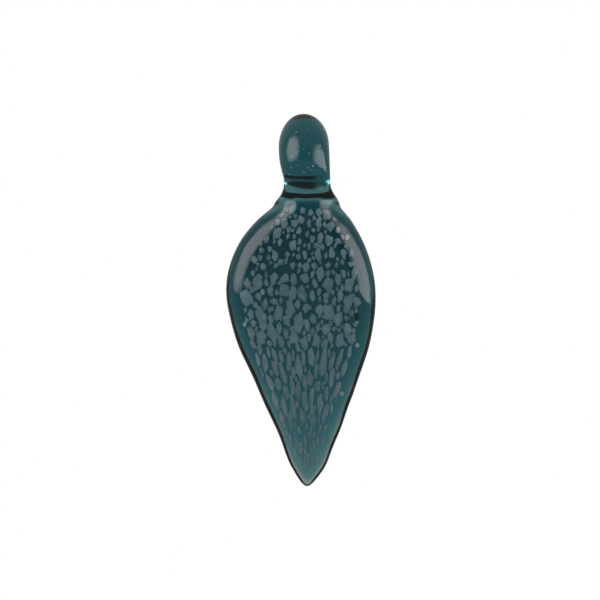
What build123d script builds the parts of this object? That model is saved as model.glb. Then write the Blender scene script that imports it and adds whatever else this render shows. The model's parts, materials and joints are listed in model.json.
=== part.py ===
from build123d import *
import math
import os
import random

# Lampworked glass leaf pendant: a mashed teal leaf, a clear teal skin cased over pale frit,
# and one rod of the same glass bent round a mandrel as the hanging loop.
# Millimetres. +Z up as it hangs, +X to the wearer's left seen from the front, the front faces -Y.
# The origin is the centre of the round hole through the loop.

# ---- leaf outline, seen from the front ----
SEAM_Z = -3.3            # height of the joint between the loop's foot and the leaf
TIP_Z = -50.45           # lowest point of the leaf
TIP_X = 0.4              # the drawn tip leans a little to +X
TIP_HALF_WIDTH = 1.25    # roundness of the drawn tip
SEAM_LEFT = 5.05         # half-widths each side of the hole's centre line, neck to tip
SEAM_RIGHT = 5.7
SHOULDER_Z = -6.4
SHOULDER_LEFT = 8.4
SHOULDER_RIGHT = 7.95
UPPER_Z = -11.8
UPPER_LEFT = 11.95
UPPER_RIGHT = 10.6
WIDEST_Z = -18.0
WIDEST_LEFT = 13.15
WIDEST_RIGHT = 11.75
BELLY_Z = -25.8
BELLY_LEFT = 11.45
BELLY_RIGHT = 11.0
LOWER_Z = -33.8
LOWER_LEFT = 7.95
LOWER_RIGHT = 8.4
TAPER_Z = -41.3
TAPER_LEFT = 4.65
TAPER_RIGHT = 5.65
POINT_Z = -47.2
POINT_LEFT = 2.15
POINT_RIGHT = 3.2

# ---- leaf thickness ----
NECK_THICKNESS = 8.8     # between the two mashed faces where the leaf meets the loop
TIP_THICKNESS = 3.0      # the faces close evenly on each other down to the tip
RIM_ROUND = 4.2          # how far the rounded rim reaches in from the outline
RIM_END_DRAW = 1.35      # the rounding draws the tip in this many times as far as the sides
RIM_STEPS = 4            # sections from the mid-plane to each face
RIM_LAST_ANGLE = 80.0    # the rounding stops this far round, against the flat face
SKIN_THICKNESS = 0.8     # clear skin over the frit

# ---- hanging loop ----
BORE_RADIUS = 2.0        # hole left by the mandrel
BORE_WALL = 3.6          # length of the hole's straight wall
MOUTH_ROUND = 6.0        # radius of the flare at each mouth of the hole
MOUTH_REACH = 2.2        # how far along the hole each flare runs
LOOP_TOP_Z = 11.7        # top of the loop
LOOP_MIDDLE_Z = 4.0      # the loop is deepest, front to back, at this height
LOOP_HALF_DEPTH = 7.0    # front of the loop to the middle, at its deepest
ROD_BITE_SIDE = 0.4      # the mandrel presses this far into the rod's inner side
ROD_BITE_TOP = 0.9       # the same, over the top where the rod is thickest
ROD_HALF_WIDTH_TOP = 4.2
ROD_HALF_WIDTH_SIDE = 3.8
ROD_HALF_WIDTH_FOOT = 4.3
LOOP_LEAN_TOP = -0.18    # the rod wanders sideways round the loop
LOOP_LEAN_SIDE = 0.36
LOOP_LEAN_FOOT = 0.45
QUARTER_POINTS = 4       # points on each quarter of an oval section
LOOP_SECTIONS = 9        # rod sections in each half of the loop
LOOP_END_ANGLE = -62.0   # the rod's two ends, measured down from level
FOOT_RISE = 2.4          # height of the foot between the rod's ends
FOOT_TOP_HALF_WIDTH = 4.1
FOOT_TOP_HALF_DEPTH = 3.6
FOOT_WAIST_HALF_WIDTH = 4.65
FOOT_WAIST_RISE = 1.2
FOOT_WAIST_HALF_DEPTH = 4.1

# ---- frit ----
FRIT_DEPTH = 0.5         # thickness of a flattened grain
STREAK_DEPTH = 0.35      # thickness of a grain drawn out into a streak
FRIT_GAP = 0.12          # least clear glass between neighbours
MARGIN_LEFT_UPPER = 3.2  # clear glass between the frit and the outline, upper left
MARGIN_LEFT_LOWER = 1.3  # the same, lower left
MARGIN_RIGHT = 2.5       # the same, all down the right
SEAL_GLASS = 0.15        # least glass round any grain at the rounded rim
NARROW_MARGIN_SHARE = 0.42   # the margin's share of the half-width where the leaf is narrow
FRIT_TOP_Z = -3.8        # highest grains
CROWN_Z = -14.8          # round grains above this height
MIDDLE_Z = -26.8         # large flattened grains down to here
DRAWN_Z = -39.3          # streaks down to here, then the finest ones
FRIT_END_Z = -47.0       # lowest streaks
LEAN_JITTER = 9.0        # degrees a grain may stray from the drawn glass
LAY_TRIES = 260
FRIT_SEED = 20
# each kind: how many, least half-width, spread of half-width, least and most slenderness
CROWN_GRAINS = (86, 0.2, 0.42, 1.0, 1.7)
MIDDLE_GRAINS = (104, 0.24, 0.56, 1.0, 2.3)
DRAWN_STREAKS = (88, 0.18, 0.34, 2.0, 4.6)
TIP_STREAKS = (26, 0.15, 0.16, 2.6, 4.6)
SPECK_RADIUS = 0.3
SPECK_SLENDERNESS = 1.3
SPECK_PLACES = ((5.35, -7.8), (6.9, -9.0), (-10.4, -23.3), (-7.0, -18.0), (9.2, -26.8), (7.0, -34.8))
INCLUSION_RADIUS = 0.28
INCLUSION_SLENDERNESS = 1.5
INCLUSION_X = 8.5
INCLUSION_Z = -22.1

LEAF_STATIONS = (
    (SEAM_Z, SEAM_LEFT, SEAM_RIGHT),
    (SHOULDER_Z, SHOULDER_LEFT, SHOULDER_RIGHT),
    (UPPER_Z, UPPER_LEFT, UPPER_RIGHT),
    (WIDEST_Z, WIDEST_LEFT, WIDEST_RIGHT),
    (BELLY_Z, BELLY_LEFT, BELLY_RIGHT),
    (LOWER_Z, LOWER_LEFT, LOWER_RIGHT),
    (TAPER_Z, TAPER_LEFT, TAPER_RIGHT),
    (POINT_Z, POINT_LEFT, POINT_RIGHT),
)
LEAF_LENGTH = SEAM_Z - TIP_Z
NECK_HALF = NECK_THICKNESS / 2
FACE_SLOPE = (NECK_THICKNESS - TIP_THICKNESS) / 2 / LEAF_LENGTH


def half_thickness(z):
    """Mid-plane to either face at a height."""
    return TIP_THICKNESS / 2 + FACE_SLOPE * (z - TIP_Z)


def frit_plane(x, z):
    """Plane of the frit, under the skin and parallel to the front face, looking into the leaf."""
    depth = -half_thickness(z) + SKIN_THICKNESS
    return Plane(origin=(x, depth, z), x_dir=(1, 0, 0), z_dir=(0, 1, FACE_SLOPE))


# =============================== leaf ===============================
def leaf_outline(share, inset):
    """Closed outline of the leaf at one share of its thickness, drawn in by the rim's rounding."""
    shrink = 1 - RIM_END_DRAW * inset / LEAF_LENGTH
    left = []
    right = []
    for z, half_left, half_right in LEAF_STATIONS:
        along = (SEAM_Z - z) / LEAF_LENGTH
        centre = TIP_X * along
        height = SEAM_Z + (z - SEAM_Z) * shrink
        pull = inset * min(1.0, (half_left + half_right) / 2 / (RIM_ROUND + TIP_HALF_WIDTH))
        y = share * half_thickness(height)
        left.append((centre + (-half_left - centre) * (1 - pull / (half_left + centre)), y, height))
        right.append((centre + (half_right - centre) * (1 - pull / (half_right - centre)), y, height))
    tip_height = SEAM_Z + (TIP_Z - SEAM_Z) * shrink
    tip = (TIP_X, share * half_thickness(tip_height), tip_height)
    side_points = right + [tip] + left[::-1]
    side = Spline(*side_points)
    top = Line(side_points[-1], side_points[0])
    return Face(Wire([side, top]))


def leaf_blank():
    """The whole mashed leaf before it is parted into gather and skin."""
    last = math.sin(math.radians(RIM_LAST_ANGLE))
    sections = []
    for step in range(-RIM_STEPS, RIM_STEPS + 1):
        angle = math.radians(RIM_LAST_ANGLE * step / RIM_STEPS)
        inset = RIM_ROUND * (1 - math.cos(angle))
        sections.append(leaf_outline(math.sin(angle) / last, inset))
    return loft(sections)


# =============================== frit placing ===============================
def half_widths(z):
    """Left and right half-widths of the leaf at a height, straight between stations."""
    stations = list(LEAF_STATIONS) + [(TIP_Z, -TIP_X, TIP_X)]
    for upper, lower in zip(stations, stations[1:]):
        if upper[0] >= z >= lower[0]:
            part = (upper[0] - z) / (upper[0] - lower[0])
            left = upper[1] + (lower[1] - upper[1]) * part
            right = upper[2] + (lower[2] - upper[2]) * part
            return left, right
    return 0.0, 0.0


def sealed_inset(z):
    """How far in from the outline the rounded rim is thick enough to cover the frit's front face."""
    half = half_thickness(z)
    cover = (half - SKIN_THICKNESS) / half * math.sin(math.radians(RIM_LAST_ANGLE))
    return RIM_ROUND * (1 - math.sqrt(1 - cover ** 2))


def rim_need(z, slope, reach):
    """Level distance in from the outline that keeps a grain covered, where the side has some slope."""
    along = (SEAM_Z - z) / LEAF_LENGTH
    rounding = sealed_inset(z) * max(1.0, 1 + slope * RIM_END_DRAW * along)
    return rounding + (SEAL_GLASS + reach) * math.hypot(1, slope)


def sealed_sides(z, reach):
    """Left and right limits at a height for a grain of some reach that must stay inside the glass."""
    step = 0.5
    left, right = half_widths(z)
    left_below, right_below = half_widths(z - step)
    need_left = rim_need(z, (left - left_below) / step, reach)
    need_right = rim_need(z, (right - right_below) / step, reach)
    return -left + need_left, right - need_right


def keep_sealed(x, z, reach):
    """A place moved in from the rim, where needed, until the glass covers the grain laid there."""
    low, high = sealed_sides(z, reach)
    return min(max(x, low), high)


def flow_angle(x, z):
    """Lean of the drawn glass at a point, degrees from upright, following the outline."""
    step = 1.0
    left, right = half_widths(z)
    left_below, right_below = half_widths(z - step)
    fraction = (x + left) / (left + right)
    x_below = -left_below + fraction * (left_below + right_below)
    return math.degrees(math.atan2(x_below - x, step))


def ring_points(grain, grow):
    """Points on a grain's edge, pushed out by a gap."""
    x, z, half_width, half_length, lean = grain
    tilt = math.radians(lean)
    points = []
    for k in range(16):
        turn = 2 * math.pi * k / 16
        across = (half_width + grow) * math.cos(turn)
        along = (half_length + grow) * math.sin(turn)
        points.append((
            x + across * math.cos(tilt) - along * math.sin(tilt),
            z + across * math.sin(tilt) + along * math.cos(tilt),
        ))
    return points


def covers(grain, grow, point):
    """True when a point falls inside a grain pushed out by a gap."""
    x, z, half_width, half_length, lean = grain
    tilt = math.radians(lean)
    dx = point[0] - x
    dz = point[1] - z
    across = dx * math.cos(tilt) + dz * math.sin(tilt)
    along = -dx * math.sin(tilt) + dz * math.cos(tilt)
    return (across / (half_width + grow)) ** 2 + (along / (half_length + grow)) ** 2 < 1


def clear_of(grain, others):
    """True when a grain keeps its gap to every grain already laid."""
    reach = max(grain[2], grain[3])
    edge = ring_points(grain, FRIT_GAP / 2)
    for other in others:
        far = reach + max(other[2], other[3]) + FRIT_GAP
        if abs(grain[0] - other[0]) > far or abs(grain[1] - other[1]) > far:
            continue
        if any(covers(other, FRIT_GAP / 2, p) for p in edge + [(grain[0], grain[1])]):
            return False
        back = ring_points(other, FRIT_GAP / 2)
        if any(covers(grain, FRIT_GAP / 2, p) for p in back):
            return False
    return True


def inside_margin(grain):
    """True when a grain's whole edge stays behind the clear rim."""
    for px, pz in ring_points(grain, 0.0):
        if pz > FRIT_TOP_Z or pz < FRIT_END_Z:
            return False
        left, right = half_widths(pz)
        sealed_low, sealed_high = sealed_sides(pz, 0.0)
        if px < sealed_low or px > sealed_high:
            return False
        lowered = min(1.0, max(0.0, (UPPER_Z - pz) / (UPPER_Z - LOWER_Z)))
        margin_left = MARGIN_LEFT_UPPER + (MARGIN_LEFT_LOWER - MARGIN_LEFT_UPPER) * lowered
        narrow = NARROW_MARGIN_SHARE * (left + right) / 2
        if px < -left + min(margin_left, narrow) or px > right - min(MARGIN_RIGHT, narrow):
            return False
    return True


def scatter(draw, kind, z_high, z_low, laid):
    """Lay grains of one kind between two heights, biggest first."""
    count, least, spread, stout, slender = kind
    wanted = []
    for _ in range(count):
        half_width = least + spread * draw.random() ** 1.4
        wanted.append((half_width, half_width * draw.uniform(stout, slender)))
    wanted.sort(key=lambda size: -size[0] * size[1])
    placed = []
    for half_width, half_length in wanted:
        for _ in range(LAY_TRIES):
            z = z_low + (z_high - z_low) * draw.random()
            left, right = half_widths(z)
            x = -left + (left + right) * draw.random()
            lean = flow_angle(x, z) + draw.uniform(-LEAN_JITTER, LEAN_JITTER)
            grain = (x, z, half_width, half_length, lean)
            if inside_margin(grain) and clear_of(grain, laid + placed):
                placed.append(grain)
                break
    return placed


def lay_frit():
    """Seeded places for every grain, by kind."""
    draw = random.Random(FRIT_SEED)
    inclusion_length = INCLUSION_RADIUS * INCLUSION_SLENDERNESS
    inclusion_x = keep_sealed(INCLUSION_X, INCLUSION_Z, inclusion_length)
    inclusion = [(inclusion_x, INCLUSION_Z, INCLUSION_RADIUS, inclusion_length, LEAN_JITTER)]
    specks = []
    for x, z in SPECK_PLACES:
        speck_length = SPECK_RADIUS * SPECK_SLENDERNESS
        specks.append((keep_sealed(x, z, speck_length), z, SPECK_RADIUS, speck_length, 0.0))
    laid = inclusion + specks
    middle = scatter(draw, MIDDLE_GRAINS, CROWN_Z, MIDDLE_Z, laid)
    laid = laid + middle
    drawn = scatter(draw, DRAWN_STREAKS, MIDDLE_Z, DRAWN_Z, laid)
    laid = laid + drawn
    crown = scatter(draw, CROWN_GRAINS, FRIT_TOP_Z, CROWN_Z, laid)
    laid = laid + crown
    tip = scatter(draw, TIP_STREAKS, DRAWN_Z, FRIT_END_Z, laid)
    return {
        "dark_inclusion": (inclusion, FRIT_DEPTH),
        "frit_bright_specks": (specks, FRIT_DEPTH),
        "frit_middle_grains": (middle, FRIT_DEPTH),
        "frit_drawn_streaks": (drawn, STREAK_DEPTH),
        "frit_crown_grains": (crown, FRIT_DEPTH),
        "frit_tip_streaks": (tip, STREAK_DEPTH),
    }


def grain_solid(grain, depth):
    """One flattened grain, its front face level with the underside of the skin."""
    x, z, half_width, half_length, lean = grain
    # the plane's own Y runs down the leaf, so the lean changes sign
    outline = frit_plane(x, z) * Rot(0, 0, -lean) * Ellipse(half_width, half_length)
    return extrude(outline, amount=depth, dir=(0, 1, FACE_SLOPE))


def frit_group(grains, depth):
    solids = []
    for grain in grains:
        solids.append(grain_solid(grain, depth).solid())
    return solids


# =============================== loop ===============================
def blend(start, end, part):
    smooth = part * part * (3 - 2 * part)
    return start + (end - start) * smooth


def loop_reach(turn):
    """Hole's centre to the loop's outside, an egg deepest above the hole, at one angle."""
    across = math.cos(turn) / LOOP_HALF_DEPTH
    half_height = LOOP_TOP_Z - LOOP_MIDDLE_Z
    upward = math.sin(turn) / half_height
    offset = LOOP_MIDDLE_Z / half_height
    square = across ** 2 + upward ** 2
    cross = upward * offset
    return (cross + math.sqrt(cross ** 2 + square * (1 - offset ** 2))) / square


def oval(half_width, half_height):
    """Closed oval in four matched quarters, so that neighbouring sections line up in a loft."""
    edges = []
    for quarter in range(4):
        points = []
        for k in range(QUARTER_POINTS):
            turn = math.pi / 2 * (quarter + k / (QUARTER_POINTS - 1))
            points.append((half_width * math.cos(turn), half_height * math.sin(turn)))
        start = math.pi / 2 * quarter
        end = math.pi / 2 * (quarter + 1)
        start_run = (-half_width * math.sin(start), half_height * math.cos(start))
        end_run = (-half_width * math.sin(end), half_height * math.cos(end))
        edges.append(Spline(*points, tangents=[start_run, end_run]))
    return Face(Wire(edges))


def rod_section(angle):
    """Oval section of the rod at one angle round the hole, level at the back being zero."""
    turn = math.radians(angle)
    rise = math.sin(turn)
    inner = BORE_RADIUS - blend(ROD_BITE_SIDE, ROD_BITE_TOP, max(rise, 0.0))
    if rise >= 0:
        half_width = blend(ROD_HALF_WIDTH_SIDE, ROD_HALF_WIDTH_TOP, rise)
        lean = blend(LOOP_LEAN_SIDE, LOOP_LEAN_TOP, rise)
    else:
        half_width = blend(ROD_HALF_WIDTH_SIDE, ROD_HALF_WIDTH_FOOT, -rise)
        lean = blend(LOOP_LEAN_SIDE, LOOP_LEAN_FOOT, -rise)
    outer = loop_reach(turn)
    radial = (outer - inner) / 2
    middle = (outer + inner) / 2
    centre = (lean, middle * math.cos(turn), middle * rise)
    run = (0, -math.sin(turn), math.cos(turn))
    return Plane(origin=centre, x_dir=(1, 0, 0), z_dir=run) * oval(half_width, radial)


def loop_half(start_angle, end_angle):
    """Half of the rod's run, lofted through sections that close up towards each end."""
    sections = []
    for k in range(LOOP_SECTIONS):
        part = 0.5 - 0.5 * math.cos(math.pi * k / (LOOP_SECTIONS - 1))
        sections.append(rod_section(start_angle + (end_angle - start_angle) * part))
    return loft(sections)


def loop_rod():
    """The rod from one end, over the mandrel, to the other end."""
    back = loop_half(LOOP_END_ANGLE, 90)
    front = loop_half(90, 180 - LOOP_END_ANGLE)
    return back + front


def loop_foot():
    """Glass gathered between the rod's two ends, flaring into the leaf's neck."""
    middle_x = (SEAM_RIGHT - SEAM_LEFT) / 2
    base = Plane.XY.offset(SEAM_Z) * Pos(middle_x, 0) * oval((SEAM_LEFT + SEAM_RIGHT) / 2, NECK_HALF)
    waist_plane = Plane.XY.offset(SEAM_Z + FOOT_WAIST_RISE)
    waist = waist_plane * Pos(LOOP_LEAN_FOOT, 0) * oval(FOOT_WAIST_HALF_WIDTH, FOOT_WAIST_HALF_DEPTH)
    top_plane = Plane.XY.offset(SEAM_Z + FOOT_RISE)
    top = top_plane * Pos(LOOP_LEAN_FOOT, 0) * oval(FOOT_TOP_HALF_WIDTH, FOOT_TOP_HALF_DEPTH)
    return loft([base, waist, top])


def mandrel():
    """The hole's shape: a straight wall with a round flare towards each mouth."""
    end = BORE_WALL / 2
    lip = end + MOUTH_REACH
    full_turn = math.asin(MOUTH_REACH / MOUTH_ROUND)
    lip_radius = BORE_RADIUS + MOUTH_ROUND * (1 - math.cos(full_turn))
    half_x = end + MOUTH_ROUND * math.sin(full_turn / 2)
    half_radius = BORE_RADIUS + MOUTH_ROUND * (1 - math.cos(full_turn / 2))
    outside = 4 * lip
    profile = Wire([
        Line((-outside, 0), (-outside, lip_radius)),
        Line((-outside, lip_radius), (-lip, lip_radius)),
        ThreePointArc((-lip, lip_radius), (-half_x, half_radius), (-end, BORE_RADIUS)),
        Line((-end, BORE_RADIUS), (end, BORE_RADIUS)),
        ThreePointArc((end, BORE_RADIUS), (half_x, half_radius), (lip, lip_radius)),
        Line((lip, lip_radius), (outside, lip_radius)),
        Line((outside, lip_radius), (outside, 0)),
        Line((outside, 0), (-outside, 0)),
    ])
    return revolve(Face(profile), axis=Axis.X)


def make_bail_loop():
    reach = 4 * LOOP_TOP_Z
    below = Pos(0, 0, SEAM_Z - reach / 2) * Box(reach, reach, reach)
    return loop_rod() + loop_foot() - mandrel() - below


# =============================== leaf pieces ===============================
def make_leaf_cap(blank):
    reach = 4 * LEAF_LENGTH
    behind = frit_plane(0, WIDEST_Z) * Pos(0, 0, reach / 2) * Box(reach, reach, reach)
    return blank - behind


def make_leaf_base(blank, grains):
    reach = 4 * LEAF_LENGTH
    front = frit_plane(0, WIDEST_Z) * Pos(0, 0, -reach / 2) * Box(reach, reach, reach)
    return blank - front - grains


def write_piece(name, shape):
    os.makedirs("parts", exist_ok=True)
    shape.label = name
    export_step(shape, "parts/" + name + ".step")


def main():
    blank = leaf_blank()
    groups = {}
    every_grain = []
    for name, (grains, depth) in lay_frit().items():
        groups[name] = frit_group(grains, depth)
        every_grain.extend(groups[name])
    write_piece("leaf_base", make_leaf_base(blank, every_grain))
    write_piece("leaf_cap", make_leaf_cap(blank))
    write_piece("bail_loop", make_bail_loop())
    for name, solids in groups.items():
        write_piece(name, Compound(children=solids))


main()
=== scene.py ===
import json
import math
import random

import bpy
import numpy as np
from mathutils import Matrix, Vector


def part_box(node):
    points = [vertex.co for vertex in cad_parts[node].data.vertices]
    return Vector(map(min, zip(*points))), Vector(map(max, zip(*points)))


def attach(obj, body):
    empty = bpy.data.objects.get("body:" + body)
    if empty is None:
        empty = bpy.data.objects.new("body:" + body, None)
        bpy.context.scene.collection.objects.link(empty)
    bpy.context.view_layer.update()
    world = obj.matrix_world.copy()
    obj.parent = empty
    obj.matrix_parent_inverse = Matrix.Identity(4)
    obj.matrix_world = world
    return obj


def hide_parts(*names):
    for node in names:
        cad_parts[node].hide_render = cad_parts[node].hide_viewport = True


# Lampworked teal glass leaf pendant. Shapes are worked out in millimetres in the part's own frame
# (origin at the centre of the loop's hole, +Z up, front facing -Y) and made in metres.
MM = 0.001
SEED = 7

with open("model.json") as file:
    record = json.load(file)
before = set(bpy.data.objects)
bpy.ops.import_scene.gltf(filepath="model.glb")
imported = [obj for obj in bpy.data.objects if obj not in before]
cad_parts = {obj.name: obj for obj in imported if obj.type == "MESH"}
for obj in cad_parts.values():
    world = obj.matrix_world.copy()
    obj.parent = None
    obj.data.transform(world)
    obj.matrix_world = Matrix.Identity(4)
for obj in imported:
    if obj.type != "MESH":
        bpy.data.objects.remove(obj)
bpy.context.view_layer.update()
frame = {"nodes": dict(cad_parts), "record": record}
leaf_low, leaf_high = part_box("leaf_base")
loop_low, loop_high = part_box("bail_loop")

# ------------------------------------------------------------------ sizes, millimetres
SEAM_Z = leaf_high.z / MM
TIP_Z = leaf_low.z / MM
LEFT_MOST = -leaf_low.x / MM
RIGHT_MOST = leaf_high.x / MM
LOOP_TOP = loop_high.z / MM
LOOP_HALF_DEPTH = 7.0
TIP_X = 0.4
NECK_HALF_THICKNESS = 4.4
TIP_HALF_THICKNESS = 1.5
RIM_ROUND = 4.2
SKIN = 0.8
COVER = 0.3         # least glass in front of a flake at the rounded rim
CLEAR_RIM = 1.0     # the gather's colour starts this far inside the rim, at the neck
TIP_CLEAR_RIM = 0.25
NECK_CLEAR = 1.4    # and this much further in where the leaf meets the loop
NECK_FADE = (-9.0, -3.0)
JOIN_FILL = 0.22    # the smooth join with the loop fills the neck out by this much
BORE_RADIUS = frame["record"]["mounts"][0]["dims"]["r_mm"]
BORE_WALL = frame["record"]["mounts"][0]["dims"]["length_mm"]
# how far out from the hole's axis the darker bands on its wall reach
DARK_BAND_REACH = BORE_RADIUS + 0.45
MOUTH_ROUND = 6.0
MOUTH_REACH = 2.2
LOOP_MIDDLE = 4.0
ROD_HALF_WIDTH_TOP = 4.2
ROD_HALF_WIDTH_SIDE = 3.8
ROD_HALF_WIDTH_FOOT = 4.3
LEAN_TOP = -0.18
LEAN_SIDE = 0.36
LEAN_FOOT = 0.45
ROD_BITE_SIDE = 0.4
ROD_BITE_TOP = 0.9
LEAST_ROD = 0.6     # the rod's section never gets thinner than this
LEAF_BLEND = 1.2    # radius of the smooth join between leaf and loop
HOLE_BLEND = 0.5    # softness of the hole's edge

# height, left and right half-widths of the outline, neck to tip
OUTLINE = (
    (-0.4, 3.2, 4.05),
    (-1.6, 3.7, 4.55),
    (SEAM_Z, 5.05 - JOIN_FILL, 5.7 - JOIN_FILL),
    (-6.4, 8.4, 7.95),
    (-11.8, 11.95, 10.6),
    (-18.0, LEFT_MOST, RIGHT_MOST),
    (-25.8, 11.45, 11.0),
    (-33.8, 7.95, 8.4),
    (-41.3, 4.65, 5.65),
    (-47.2, 2.15, 3.2),
)


def catmull(points, per_span):
    """Smooth open curve through the points, centripetal Catmull-Rom."""
    pts = [np.array(p, float) for p in points]
    pts = [2 * pts[0] - pts[1]] + pts + [2 * pts[-1] - pts[-2]]
    out = []
    for p0, p1, p2, p3 in zip(pts, pts[1:], pts[2:], pts[3:]):
        t0 = 0.0
        t1 = t0 + np.linalg.norm(p1 - p0) ** 0.5
        t2 = t1 + np.linalg.norm(p2 - p1) ** 0.5
        t3 = t2 + np.linalg.norm(p3 - p2) ** 0.5
        for t in np.linspace(t1, t2, per_span, endpoint=False):
            a1 = (t1 - t) / (t1 - t0) * p0 + (t - t0) / (t1 - t0) * p1
            a2 = (t2 - t) / (t2 - t1) * p1 + (t - t1) / (t2 - t1) * p2
            a3 = (t3 - t) / (t3 - t2) * p2 + (t - t2) / (t3 - t2) * p3
            b1 = (t2 - t) / (t2 - t0) * a1 + (t - t0) / (t2 - t0) * a2
            b2 = (t3 - t) / (t3 - t1) * a2 + (t - t1) / (t3 - t1) * a3
            out.append((t2 - t) / (t2 - t1) * b1 + (t - t1) / (t2 - t1) * b2)
    out.append(pts[-2])
    return np.array(out)


def outline_polygon():
    left = [(-l, z) for z, l, r in OUTLINE]
    right = [(r, z) for z, l, r in OUTLINE]
    tip = [(TIP_X, TIP_Z)]
    return catmull(right + tip + left[::-1], 14)


POLYGON = outline_polygon()


def inset_from_outline(x, z):
    """Distance inside the leaf's outline, negative outside."""
    a = POLYGON
    b = np.roll(POLYGON, -1, axis=0)
    shape = x.shape
    p = np.stack([x.ravel(), z.ravel()], 1)
    best = np.full(len(p), 1e9)
    inside = np.zeros(len(p), bool)
    for (ax, az), (bx, bz) in zip(a, b):
        ex, ez = bx - ax, bz - az
        wx, wz = p[:, 0] - ax, p[:, 1] - az
        share = np.clip((wx * ex + wz * ez) / (ex * ex + ez * ez), 0, 1)
        best = np.minimum(best, (wx - ex * share) ** 2 + (wz - ez * share) ** 2)
        crosses = (az > p[:, 1]) != (bz > p[:, 1])
        if abs(ez) > 1e-12:
            inside ^= crosses & (p[:, 0] < ax + ex * (p[:, 1] - az) / ez)
    d = np.sqrt(best)
    return np.where(inside, d, -d).reshape(shape)


# the outline's distance is looked up from a fine table, because the surface asks for it often
TABLE_STEP = 0.25
TABLE_X = np.arange(-18.0, 18.01, TABLE_STEP)
TABLE_Z = np.arange(-58.0, 4.01, TABLE_STEP)
TABLE = inset_from_outline(*np.meshgrid(TABLE_X, TABLE_Z, indexing="ij"))


def inset(x, z):
    fx = np.clip((x - TABLE_X[0]) / TABLE_STEP, 0, len(TABLE_X) - 1.001)
    fz = np.clip((z - TABLE_Z[0]) / TABLE_STEP, 0, len(TABLE_Z) - 1.001)
    ix, iz = fx.astype(int), fz.astype(int)
    ux, uz = fx - ix, fz - iz
    return (
        TABLE[ix, iz] * (1 - ux) * (1 - uz)
        + TABLE[ix + 1, iz] * ux * (1 - uz)
        + TABLE[ix, iz + 1] * (1 - ux) * uz
        + TABLE[ix + 1, iz + 1] * ux * uz
    )


def half_thickness(z):
    share = (z - TIP_Z) / (SEAM_Z - TIP_Z)
    return TIP_HALF_THICKNESS + (NECK_HALF_THICKNESS - TIP_HALF_THICKNESS) * share


def leaf_field(x, y, z):
    """Below zero inside the mashed leaf, about a distance in millimetres near its surface."""
    h = np.clip(half_thickness(z), 0.5, 4.6)
    s = inset(x, z)
    across = np.maximum(RIM_ROUND - s, 0) / RIM_ROUND
    return (np.sqrt(across ** 2 + (y / h) ** 2) - 1) * np.minimum(RIM_ROUND, h)


def smooth(a, b, part):
    part = np.clip(part, 0, 1)
    return a + (b - a) * part * part * (3 - 2 * part)


def loop_field(x, y, z):
    """The oval rod round the hole, egg-shaped in side view and drawn in under the hole."""
    rho = np.sqrt(y * y + z * z) + 1e-9
    rise = z / rho
    level = y / rho
    up = np.maximum(rise, 0)
    down = np.maximum(-rise, 0)
    half_height = LOOP_TOP - LOOP_MIDDLE
    square = (level / LOOP_HALF_DEPTH) ** 2 + (rise / half_height) ** 2
    offset = LOOP_MIDDLE / half_height
    cross = rise / half_height * offset
    outer = (cross + np.sqrt(cross ** 2 + square * (1 - offset ** 2))) / square
    top_width = smooth(ROD_HALF_WIDTH_SIDE, ROD_HALF_WIDTH_TOP, up)
    foot_width = smooth(ROD_HALF_WIDTH_SIDE, ROD_HALF_WIDTH_FOOT, down)
    half_width = np.where(rise >= 0, top_width, foot_width)
    lean = np.where(rise >= 0, smooth(LEAN_SIDE, LEAN_TOP, up), smooth(LEAN_SIDE, LEAN_FOOT, down))
    inner = BORE_RADIUS - smooth(ROD_BITE_SIDE, ROD_BITE_TOP, up)
    radial = np.maximum((outer - inner) / 2, LEAST_ROD)
    middle = (outer + inner) / 2
    d = np.sqrt(((x - lean) / half_width) ** 2 + ((rho - middle) / radial) ** 2) - 1
    return d * np.minimum(half_width, radial)


def hole_field(x, y, z):
    """Below zero inside the hole: a straight wall with a round flare at each mouth."""
    rho = np.sqrt(y * y + z * z)
    beyond = np.clip(np.abs(x) - BORE_WALL / 2, 0, MOUTH_REACH)
    radius = BORE_RADIUS + MOUTH_ROUND - np.sqrt(MOUTH_ROUND ** 2 - beyond ** 2)
    return rho - radius


def smooth_join(a, b, k):
    h = np.maximum(k - np.abs(a - b), 0) / k
    return np.minimum(a, b) - h * h * k / 4


def smooth_cut(a, b, k):
    return -smooth_join(-a, b, k)


def glass_field(x, y, z):
    body = smooth_join(leaf_field(x, y, z), loop_field(x, y, z), LEAF_BLEND)
    # the hand of the maker: slow swells a few hundredths of a millimetre high
    swell = 0.03 * np.sin(0.55 * x + 0.31 * z + 0.8) * np.sin(0.43 * z - 0.37 * x + 2.1)
    swell += 0.02 * np.sin(0.9 * x - 0.5 * y + 0.62 * z)
    return smooth_cut(body + swell, hole_field(x, y, z), HOLE_BLEND)


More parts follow.
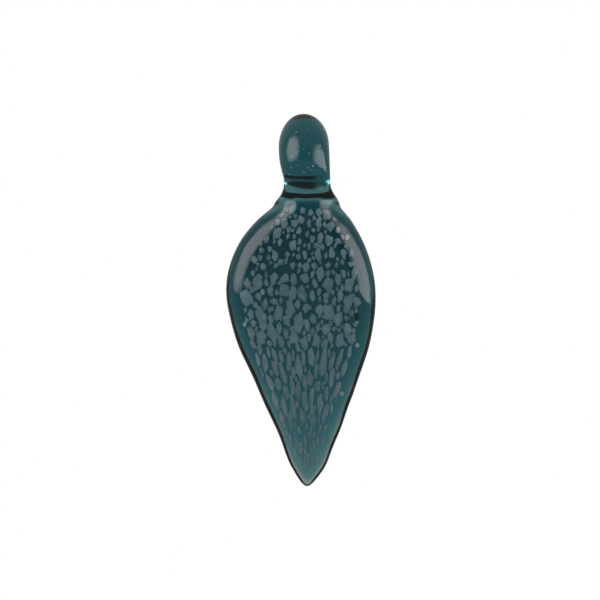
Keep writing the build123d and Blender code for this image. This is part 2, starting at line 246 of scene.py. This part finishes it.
def surface_net(field, low, high, step):
    """Closed quad surface where the field is zero, one point in each cell that the surface crosses."""
    axes = [np.arange(l, h + step, step) for l, h in zip(low, high)]
    gx, gy, gz = np.meshgrid(*axes, indexing="ij")
    f = field(gx, gy, gz)
    inside = f < 0
    nx, ny, nz = f.shape
    total = np.zeros((nx - 1, ny - 1, nz - 1, 3))
    count = np.zeros((nx - 1, ny - 1, nz - 1))
    corners = [(i, j, k) for i in (0, 1) for j in (0, 1) for k in (0, 1)]

    def part(array, c):
        return array[c[0]:nx - 1 + c[0], c[1]:ny - 1 + c[1], c[2]:nz - 1 + c[2]]

    for a in corners:
        for b in corners:
            if sum(b) - sum(a) == 1 and all(q >= p for p, q in zip(a, b)):
                fa, fb = part(f, a), part(f, b)
                cross = (fa < 0) != (fb < 0)
                t = np.where(cross, fa / np.where(cross, fa - fb, 1), 0)
                for n in range(3):
                    total[..., n] += np.where(cross, a[n] + (b[n] - a[n]) * t, 0)
                count += cross
    used = count > 0
    index = np.full(used.shape, -1)
    index[used] = np.arange(used.sum())
    cell = np.argwhere(used)
    points = (cell + total[used] / count[used][:, None]) * step + np.array(low)
    quads = []
    for n in range(3):
        u, v = (n + 1) % 3, (n + 2) % 3
        near = [slice(1, -1)] * 3
        near[n] = slice(0, -1)
        far = [slice(1, -1)] * 3
        far[n] = slice(1, None)
        a, b = inside[tuple(near)], inside[tuple(far)]
        for flip in (False, True):
            where = np.argwhere((b & ~a) if flip else (a & ~b))
            where[:, u] += 1
            where[:, v] += 1
            ring = []
            for du, dv in ((1, 1), (0, 1), (0, 0), (1, 0)):
                c = where.copy()
                c[:, u] -= du
                c[:, v] -= dv
                ring.append(index[c[:, 0], c[:, 1], c[:, 2]])
            quad = np.stack(ring, 1)
            quads.append(quad[:, ::-1] if flip else quad)
    return points, np.concatenate(quads)


def settle(field, points, rounds=4, reach=0.02):
    """Move points along the field's slope until they lie on its zero."""
    p = points.copy()
    for _ in range(rounds):
        f = field(p[:, 0], p[:, 1], p[:, 2])
        g = np.zeros_like(p)
        for n in range(3):
            q = p.copy()
            q[:, n] += reach
            r = p.copy()
            r[:, n] -= reach
            g[:, n] = (field(q[:, 0], q[:, 1], q[:, 2]) - field(r[:, 0], r[:, 1], r[:, 2])) / (2 * reach)
        p -= np.clip(f / np.maximum((g * g).sum(1), 0.05), -0.3, 0.3)[:, None] * g
    return p


def new_mesh(name, points, faces, material, smooth_shade=True):
    mesh = bpy.data.meshes.new(name)
    mesh.from_pydata([tuple(map(float, p)) for p in points], [], [tuple(map(int, q)) for q in faces])
    mesh.update()
    mesh.polygons.foreach_set("use_smooth", [smooth_shade] * len(mesh.polygons))
    obj = bpy.data.objects.new(name, mesh)
    bpy.context.scene.collection.objects.link(obj)
    obj.data.materials.append(material)
    return obj


# ------------------------------------------------------------------ materials
def new_material(name):
    material = bpy.data.materials.new(name)
    material.use_nodes = True
    nodes = material.node_tree.nodes
    links = material.node_tree.links
    return material, nodes, links, nodes["Principled BSDF"], nodes["Material Output"]


def teal_glass():
    material, nodes, links, shader, output = new_material("teal_glass")
    shader.inputs["Base Color"].default_value = (1, 1, 1, 1)
    shader.inputs["Roughness"].default_value = 0.0
    shader.inputs["IOR"].default_value = 1.47
    shader.inputs["Transmission Weight"].default_value = 1.0
    absorb = nodes.new("ShaderNodeVolumeAbsorption")
    absorb.inputs["Color"].default_value = (0.0, 0.57, 0.62, 1)
    absorb.inputs["Density"].default_value = 250.0
    links.new(absorb.outputs["Volume"], output.inputs["Volume"])
    where = nodes.new("ShaderNodeTexCoord")
    ripple = nodes.new("ShaderNodeTexNoise")
    ripple.inputs["Scale"].default_value = 45.0
    ripple.inputs["Detail"].default_value = 0.0
    bump = nodes.new("ShaderNodeBump")
    bump.inputs["Strength"].default_value = 0.03
    bump.inputs["Distance"].default_value = 0.0004
    links.new(where.outputs["Object"], ripple.inputs["Vector"])
    links.new(ripple.outputs["Fac"], bump.inputs["Height"])
    links.new(bump.outputs["Normal"], shader.inputs["Normal"])
    hole_wall_dark_bands(nodes, links, where, shader, output)
    return material


def hole_wall_dark_bands(nodes, links, where, shader, output):
    """Darker bands on the hole's wall, on its upper wall to the left and on its lower wall: a near-black
    rough surface mixed into the glass there; the rest stays clear.
    """
    def math_node(operation, first, second=None):
        node = nodes.new("ShaderNodeMath")
        node.operation = operation
        for n, value in enumerate((first, second)):
            if isinstance(value, (int, float)):
                node.inputs[n].default_value = value
            elif value is not None:
                links.new(value, node.inputs[n])
        return node.outputs["Value"]

    def step_between(value, low, high):
        node = nodes.new("ShaderNodeMapRange")
        node.interpolation_type = "SMOOTHSTEP"
        node.inputs["From Min"].default_value = low
        node.inputs["From Max"].default_value = high
        links.new(value, node.inputs["Value"])
        return node.outputs["Result"]

    split = nodes.new("ShaderNodeSeparateXYZ")
    links.new(where.outputs["Object"], split.inputs["Vector"])
    x, y, z = split.outputs["X"], split.outputs["Y"], split.outputs["Z"]
    rho = math_node("SQRT", math_node("ADD", math_node("MULTIPLY", y, y), math_node("MULTIPLY", z, z)))
    near_wall = step_between(rho, DARK_BAND_REACH * MM, (DARK_BAND_REACH - 0.1) * MM)
    uneven = nodes.new("ShaderNodeTexNoise")
    uneven.inputs["Scale"].default_value = 420.0
    links.new(where.outputs["Object"], uneven.inputs["Vector"])
    wobble = math_node("MULTIPLY", math_node("SUBTRACT", uneven.outputs["Fac"], 0.5), 0.8 * MM)
    upper = step_between(math_node("ADD", z, wobble), 1.1 * MM, 1.45 * MM)
    upper_left = step_between(x, 2.0 * MM, 0.8 * MM)
    lower = step_between(math_node("ADD", z, wobble), -1.0 * MM, -1.35 * MM)
    both = math_node("MAXIMUM", math_node("MULTIPLY", upper, upper_left), lower)
    # near-black rough surface for the darker bands on the hole's wall
    dark_band = nodes.new("ShaderNodeBsdfPrincipled")
    dark_band.inputs["Base Color"].default_value = (0.006, 0.018, 0.024, 1)
    dark_band.inputs["Roughness"].default_value = 0.6
    mix = nodes.new("ShaderNodeMixShader")
    links.new(math_node("MULTIPLY", near_wall, both), mix.inputs["Fac"])
    links.new(shader.outputs["BSDF"], mix.inputs[1])
    links.new(dark_band.outputs["BSDF"], mix.inputs[2])
    links.new(mix.outputs["Shader"], output.inputs["Surface"])


def frit_material(name, dark, light):
    """Matte melted frit: mottled grey."""
    material, nodes, links, shader, output = new_material(name)
    where = nodes.new("ShaderNodeTexCoord")
    noise = nodes.new("ShaderNodeTexNoise")
    noise.inputs["Scale"].default_value = 900.0
    noise.inputs["Detail"].default_value = 4.0
    ramp = nodes.new("ShaderNodeValToRGB")
    ramp.color_ramp.elements[0].position = 0.3
    ramp.color_ramp.elements[0].color = (*dark, 1)
    ramp.color_ramp.elements[1].position = 0.72
    ramp.color_ramp.elements[1].color = (*light, 1)
    links.new(where.outputs["Object"], noise.inputs["Vector"])
    links.new(noise.outputs["Fac"], ramp.inputs["Fac"])
    links.new(ramp.outputs["Color"], shader.inputs["Base Color"])
    shader.inputs["Roughness"].default_value = 0.85
    shader.inputs["Specular IOR Level"].default_value = 0.1
    return material


def deep_colour():
    """The leaf's gather is deeper coloured than its skin: colour only, with no surface of its own."""
    material, nodes, links, shader, output = new_material("teal_gather")
    nodes.remove(shader)
    absorb = nodes.new("ShaderNodeVolumeAbsorption")
    absorb.inputs["Color"].default_value = (0.0, 0.55, 0.6, 1)
    absorb.inputs["Density"].default_value = 560.0
    links.new(absorb.outputs["Volume"], output.inputs["Volume"])
    return material


GLASS = teal_glass()
GATHER = deep_colour()
FRIT_GREY = frit_material("frit_grey", (0.32, 0.38, 0.42), (0.50, 0.55, 0.58))
# painted glint: the bright specks are light caught off the flakes, painted here as near-white matte frit
FRIT_PAINTED_GLINT = frit_material("frit_pale", (0.62, 0.63, 0.6), (0.8, 0.8, 0.77))
# painted reflection: the gas bubbles are shaded as opaque pale matte surfaces, standing in for the light
# their gas boundary reflects
BUBBLE_PAINTED_REFLECTION = frit_material("bubble_painted_reflection", (0.42, 0.56, 0.58), (0.7, 0.8, 0.8))
INCLUSION = frit_material("inclusion_dark", (0.01, 0.012, 0.012), (0.03, 0.035, 0.035))

# ------------------------------------------------------------------ glass envelope
STEP = 0.4
CORE_STEP = 0.6
points, quads = surface_net(
    glass_field,
    (-LEFT_MOST - 1.2, -LOOP_HALF_DEPTH - 1.2, TIP_Z - 1.2),
    (RIGHT_MOST + 1.2, LOOP_HALF_DEPTH + 1.2, LOOP_TOP + 1.2),
    STEP,
)
points = settle(glass_field, points)


def bubble(centre, radius, rings=7, sides=10):
    """A sealed gas bubble: its surface faces inward to the gas, and is shaded as an opaque pale surface, a
    painted reflection.
    """
    pts = [centre + np.array((0, 0, radius[2]))]
    for i in range(1, rings):
        a = math.pi * i / rings
        for j in range(sides):
            b = 2 * math.pi * j / sides
            pts.append(centre + np.array((
                radius[0] * math.sin(a) * math.cos(b),
                radius[1] * math.sin(a) * math.sin(b),
                radius[2] * math.cos(a),
            )))
    pts.append(centre - np.array((0, 0, radius[2])))
    faces = []
    for j in range(sides):
        k = (j + 1) % sides
        faces.append((0, 1 + k, 1 + j))
        for i in range(rings - 2):
            a = 1 + i * sides
            faces.append((a + j, a + k, a + sides + k, a + sides + j))
        a = 1 + (rings - 2) * sides
        faces.append((len(pts) - 1, a + j, a + k))
    return pts, faces


verts = [tuple(p) for p in points]
faces = [tuple(q) for q in quads]
draw = random.Random(SEED)
SEEDS = (
    (-1.9, -5.9, 4.1), (-0.2, -6.1, 5.3), (-1.05, -6.2, 4.8), (0.6, -5.8, 4.6),
    (-1.3, -5.6, 3.7), (-1.1, -5.9, 6.7), (-1.4, -4.9, 8.1), (0.3, -5.1, 8.5),
    (-2.2, -5.5, 2.4), (-2.5, -5.2, 1.3), (-0.2, -5.9, 1.6), (1.2, -5.7, 2.6),
    (-1.1, -5.8, 2.7), (0.5, -5.7, 2.3), (1.0, -5.4, 2.0), (2.2, -4.9, 5.8),
)
for cx, cy, cz in SEEDS:
    r = draw.uniform(0.08, 0.15)
    p, f = bubble(np.array((cx, cy, cz)), (r, r, r * draw.uniform(1.0, 1.6)))
    base = len(verts)
    verts += [tuple(q) for q in p]
    faces += [tuple(base + i for i in face) for face in f]
glass = new_mesh("glass_body", [Vector(v) * MM for v in verts], faces, GLASS)
# the bubbles' faces take the pale painted-reflection material
glass.data.materials.append(BUBBLE_PAINTED_REFLECTION)
for polygon in glass.data.polygons[len(quads):]:
    polygon.material_index = 1
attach(glass, "root")
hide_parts("leaf_base", "leaf_cap", "bail_loop")


def gather_field(x, y, z):
    """The leaf's coloured gather: inside the clear skin, behind the frit's front face."""
    behind_skin = -half_thickness(z) + SKIN - y
    lowered = np.clip((SEAM_Z - z) / (SEAM_Z - TIP_Z), 0, 1)
    rim = CLEAR_RIM + (TIP_CLEAR_RIM - CLEAR_RIM) * lowered
    fade_low, fade_high = NECK_FADE
    rim = rim + smooth(0.0, NECK_CLEAR, (z - fade_low) / (fade_high - fade_low))
    return np.maximum(leaf_field(x, y, z) + rim, behind_skin)


core_points, core_quads = surface_net(
    gather_field,
    (-LEFT_MOST - 1.0, -NECK_HALF_THICKNESS - 1.0, TIP_Z - 1.0),
    (RIGHT_MOST + 1.0, NECK_HALF_THICKNESS + 1.0, SEAM_Z + 1.0),
    CORE_STEP,
)
core = new_mesh("leaf_gather", [Vector(p) * MM for p in core_points], core_quads, GATHER)
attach(core, "root")


# ------------------------------------------------------------------ frit
def islands(obj):
    """The separate grains of a packed frit node: centre, half width, half length, lean."""
    mesh = obj.data
    n = len(mesh.vertices)
    co = np.zeros(n * 3)
    mesh.vertices.foreach_get("co", co)
    co = co.reshape(-1, 3) / MM
    # corners at one place are one corner
    keys = {}
    first = np.zeros(n, int)
    for i, p in enumerate(np.round(co, 3)):
        first[i] = keys.setdefault(tuple(p), i)
    parent = list(range(n))

    def root(i):
        while parent[i] != i:
            parent[i] = parent[parent[i]]
            i = parent[i]
        return i

    for i in range(n):
        parent[root(i)] = root(first[i])
    for e in mesh.edges:
        a, b = root(e.vertices[0]), root(e.vertices[1])
        if a != b:
            parent[a] = b
    groups = {}
    for i in range(n):
        groups.setdefault(root(i), []).append(i)
    found = []
    for members in groups.values():
        p = co[members]
        low, high = p.min(0), p.max(0)
        flat = p[:, [0, 2]] - p[:, [0, 2]].mean(0)
        values, vectors = np.linalg.eigh(flat.T @ flat)
        along = vectors[:, 1]
        across = vectors[:, 0]
        if along[1] < 0:
            along = -along
        across = np.array((along[1], -along[0]))
        found.append({
            "x": (low[0] + high[0]) / 2,
            "y": low[1],
            "z": (low[2] + high[2]) / 2,
            "half_width": np.abs(flat @ across).max(),
            "half_length": np.abs(flat @ along).max(),
            "along": along,
            "across": across,
        })
    found.sort(key=lambda g: (round(g["z"], 3), round(g["x"], 3)))
    return found


def skin_depth(z):
    """The frit's front surface, under the skin."""
    return -half_thickness(z) + SKIN


def under_surface(x, z):
    """Nearest the front that a flake may come at a place: just behind the rounded rim's surface."""
    s = float(inset(np.array([x]), np.array([z]))[0])
    across = min(max(RIM_ROUND - s, 0) / RIM_ROUND, 1)
    return -half_thickness(z) * math.sqrt(1 - across * across) + COVER


def flake(grain, rng, grow, ragged, thick, sides=24):
    """One melted grain: a lumpy lens with an uneven edge, lying against the skin."""
    waves = [(k, rng.uniform(-1, 1) * ragged / k ** 0.6, rng.uniform(0, 6.28)) for k in (2, 3, 4, 5, 7)]
    a, b = grain["half_width"] * grow, grain["half_length"] * grow
    tilt = rng.uniform(-0.05, 0.05)
    sink = rng.uniform(0.0, 0.12)
    pts = []
    # rings from front to back: share of the flake's radius, and level in its thickness
    shells = (
        (0.0, -1.0), (0.45, -0.93), (0.8, -0.7), (0.97, -0.3),
        (1.0, 0.0), (0.85, 0.6), (0.5, 0.9), (0.0, 1.0),
    )
    for share, level in shells:
        count = 1 if share == 0 else sides
        for j in range(count):
            t = 2 * math.pi * j / sides
            r = share * (1 + sum(w * math.cos(k * t + s) for k, w, s in waves))
            u, v = a * r * math.cos(t), b * r * math.sin(t)
            x = grain["x"] + grain["across"][0] * u + grain["along"][0] * v
            z = grain["z"] + grain["across"][1] * u + grain["along"][1] * v
            y = max(skin_depth(z), under_surface(x, z)) + sink + thick * (0.5 + 0.5 * level) + tilt * u
            pts.append((x, y, z))
    faces = []
    rows = len(shells) - 1
    for j in range(sides):
        k = (j + 1) % sides
        faces.append((0, 1 + j, 1 + k))
        for i in range(rows - 2):
            s = 1 + i * sides
            faces.append((s + j, s + sides + j, s + sides + k, s + k))
        s = 1 + (rows - 2) * sides
        faces.append((len(pts) - 1, s + k, s + j))
    return pts, faces


def frit_object(node, material, grow, ragged, thick, rng):
    verts, faces = [], []
    for grain in islands(frame["nodes"][node]):
        p, f = flake(grain, rng, grow * rng.uniform(0.92, 1.22), ragged, thick)
        base = len(verts)
        verts += p
        faces += [tuple(base + i for i in face) for face in f]
    obj = new_mesh(node + "_melted", [Vector(v) * MM for v in verts], faces, material)
    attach(obj, "root")
    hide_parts(node)
    return obj


rng = random.Random(SEED)
frit_object("frit_crown_grains", FRIT_GREY, 0.98, 0.28, 0.4, rng)
frit_object("frit_middle_grains", FRIT_GREY, 0.98, 0.3, 0.45, rng)
frit_object("frit_drawn_streaks", FRIT_GREY, 1.0, 0.22, 0.32, rng)
frit_object("frit_tip_streaks", FRIT_GREY, 0.95, 0.18, 0.26, rng)
# the bright specks carry the painted glint colour, light off the flakes painted as pale frit
frit_object("frit_bright_specks", FRIT_PAINTED_GLINT, 1.05, 0.08, 0.4, rng)
frit_object("dark_inclusion", INCLUSION, 1.0, 0.15, 0.3, rng)


# ------------------------------------------------------------------ stage, light and camera
def light_path_white(name, camera_white, other):
    """A stage surface that is plain white to look at and only softly lit for everything else."""
    material, nodes, links, shader, output = new_material(name)
    nodes.remove(shader)
    soft = nodes.new("ShaderNodeEmission")
    soft.inputs["Strength"].default_value = other
    glow = nodes.new("ShaderNodeEmission")
    glow.inputs["Color"].default_value = (1, 1, 1, 1)
    glow.inputs["Strength"].default_value = camera_white
    path = nodes.new("ShaderNodeLightPath")
    mix = nodes.new("ShaderNodeMixShader")
    links.new(path.outputs["Is Camera Ray"], mix.inputs["Fac"])
    links.new(soft.outputs["Emission"], mix.inputs[1])
    links.new(glow.outputs["Emission"], mix.inputs[2])
    links.new(mix.outputs["Shader"], output.inputs["Surface"])
    return material


FLOOR_Z = -0.0728
half = 1.5
floor = new_mesh(
    "floor",
    [(-half, -half, FLOOR_Z), (half, -half, FLOOR_Z), (half, half, FLOOR_Z), (-half, half, FLOOR_Z)],
    [(0, 1, 2, 3)],
    light_path_white("floor_white", 1.0, 0.26),
    smooth_shade=False,
)

world = bpy.data.worlds.new("studio")
bpy.context.scene.world = world
world.use_nodes = True
wn, wl = world.node_tree.nodes, world.node_tree.links
wn.clear()
w_out = wn.new("ShaderNodeOutputWorld")
w_coord = wn.new("ShaderNodeTexCoord")
w_split = wn.new("ShaderNodeSeparateXYZ")
wl.new(w_coord.outputs["Generated"], w_split.inputs["Vector"])
# dark behind the camera, white behind the object
w_front = wn.new("ShaderNodeMapRange")
w_front.interpolation_type = "SMOOTHSTEP"
w_front.inputs["From Min"].default_value = -0.99
w_front.inputs["From Max"].default_value = -0.72
w_front.inputs["To Min"].default_value = 0.08
w_front.inputs["To Max"].default_value = 0.29
wl.new(w_split.outputs["Y"], w_front.inputs["Value"])
# dim below
w_low = wn.new("ShaderNodeMapRange")
w_low.interpolation_type = "SMOOTHSTEP"
w_low.inputs["From Min"].default_value = -0.6
w_low.inputs["From Max"].default_value = 0.1
w_low.inputs["To Min"].default_value = 0.8
w_low.inputs["To Max"].default_value = 1.0
wl.new(w_split.outputs["Z"], w_low.inputs["Value"])
w_mul = wn.new("ShaderNodeMath")
w_mul.operation = "MULTIPLY"
wl.new(w_front.outputs["Result"], w_mul.inputs[0])
wl.new(w_low.outputs["Result"], w_mul.inputs[1])
w_back = wn.new("ShaderNodeBackground")
w_back.inputs["Color"].default_value = (1, 1, 1, 1)
wl.new(w_mul.outputs["Value"], w_back.inputs["Strength"])
w_white = wn.new("ShaderNodeBackground")
w_white.inputs["Color"].default_value = (1, 1, 1, 1)
w_white.inputs["Strength"].default_value = 1.0
w_path = wn.new("ShaderNodeLightPath")
w_mix = wn.new("ShaderNodeMixShader")
wl.new(w_path.outputs["Is Camera Ray"], w_mix.inputs["Fac"])
wl.new(w_back.outputs["Background"], w_mix.inputs[1])
wl.new(w_white.outputs["Background"], w_mix.inputs[2])
wl.new(w_mix.outputs["Shader"], w_out.inputs["Surface"])

AIM = Vector((-0.00083, 0, -0.0193))


def softbox(name, azimuth, elevation, distance, width, height, radiance):
    """A soft-edged oval light panel aimed at the pendant. Azimuth 0 is in front, positive to the right."""
    a, e = math.radians(azimuth), math.radians(elevation)
    place = AIM + distance * Vector((math.sin(a) * math.cos(e), -math.cos(a) * math.cos(e), math.sin(e)))
    material, nodes, links, shader, output = new_material(name)
    nodes.remove(shader)
    where = nodes.new("ShaderNodeTexCoord")
    fade = nodes.new("ShaderNodeTexGradient")
    fade.gradient_type = "SPHERICAL"
    soften = nodes.new("ShaderNodeMapRange")
    soften.interpolation_type = "SMOOTHSTEP"
    soften.inputs["From Max"].default_value = 0.6
    glow = nodes.new("ShaderNodeEmission")
    glow.inputs["Strength"].default_value = radiance
    nothing = nodes.new("ShaderNodeBsdfTransparent")
    mix = nodes.new("ShaderNodeMixShader")
    links.new(where.outputs["Object"], fade.inputs["Vector"])
    links.new(fade.outputs["Fac"], soften.inputs["Value"])
    links.new(soften.outputs["Result"], mix.inputs["Fac"])
    links.new(nothing.outputs["BSDF"], mix.inputs[1])
    links.new(glow.outputs["Emission"], mix.inputs[2])
    links.new(mix.outputs["Shader"], output.inputs["Surface"])
    corners = [(-1, -1, 0), (1, -1, 0), (1, 1, 0), (-1, 1, 0)]
    panel = new_mesh(name, corners, [(3, 2, 1, 0)], material, smooth_shade=False)
    panel.location = place
    panel.rotation_euler = (AIM - place).to_track_quat("-Z", "Y").to_euler()
    panel.scale = (width / 2, height / 2, 1)
    panel.visible_camera = False
    return panel


softbox("softbox_left", -54, 22, 0.6, 0.9, 0.85, 3.6)
softbox("softbox_right", 62, 6, 0.6, 0.95, 0.8, 3.7)

camera_data = bpy.data.cameras.new("camera")
camera_data.lens = 105.0
camera_data.sensor_width = 36.0
camera_data.clip_start = 0.01
camera = bpy.data.objects.new("camera", camera_data)
bpy.context.scene.collection.objects.link(camera)
FRAME_WIDTH = 0.1
camera.location = AIM + Vector((0, -camera_data.lens * FRAME_WIDTH / camera_data.sensor_width, 0))
camera.rotation_euler = (math.pi / 2, 0, 0)
bpy.context.scene.camera = camera

scene = bpy.context.scene
scene.view_settings.view_transform = "Standard"
scene.cycles.max_bounces = 24
scene.cycles.transmission_bounces = 20
scene.cycles.glossy_bounces = 8
scene.cycles.diffuse_bounces = 4
scene.cycles.sample_clamp_indirect = 0.9
